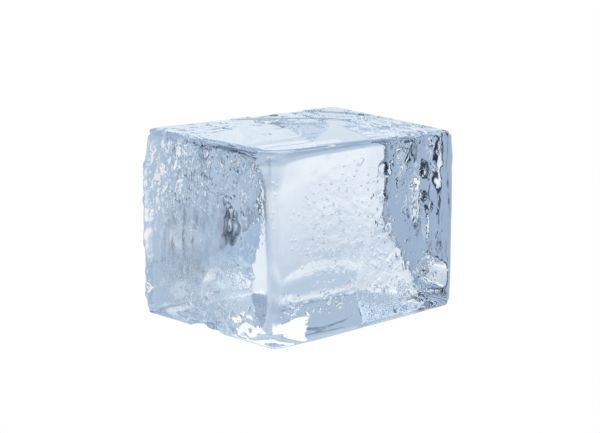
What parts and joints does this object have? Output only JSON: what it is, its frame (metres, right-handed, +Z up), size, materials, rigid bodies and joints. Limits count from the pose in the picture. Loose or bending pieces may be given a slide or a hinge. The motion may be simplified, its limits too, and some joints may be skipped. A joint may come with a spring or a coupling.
{
  "type": "ice block",
  "caption": "Clear rectangular block of ice with melt-rounded edges, rippled faces and a small bite melted out of one bottom edge; it stands on its flat underside.",
  "frame": {"origin": "centre of the underside's bounding box, on the surface that the block stands on", "axes": "+Z up, Y along the long side, X along the short side; the bitten bottom edge is on the side that faces -Y"},
  "size_m": [0.1152, 0.1528, 0.1117],
  "materials": {
    "clear_ice": "clear ice with a wet, rippled and pitted melt surface, frosted in places, pale blue where it is thick"
  },
  "bodies": {
    "root": {"ice_block": "clear_ice"}
  },
  "joints": []
}
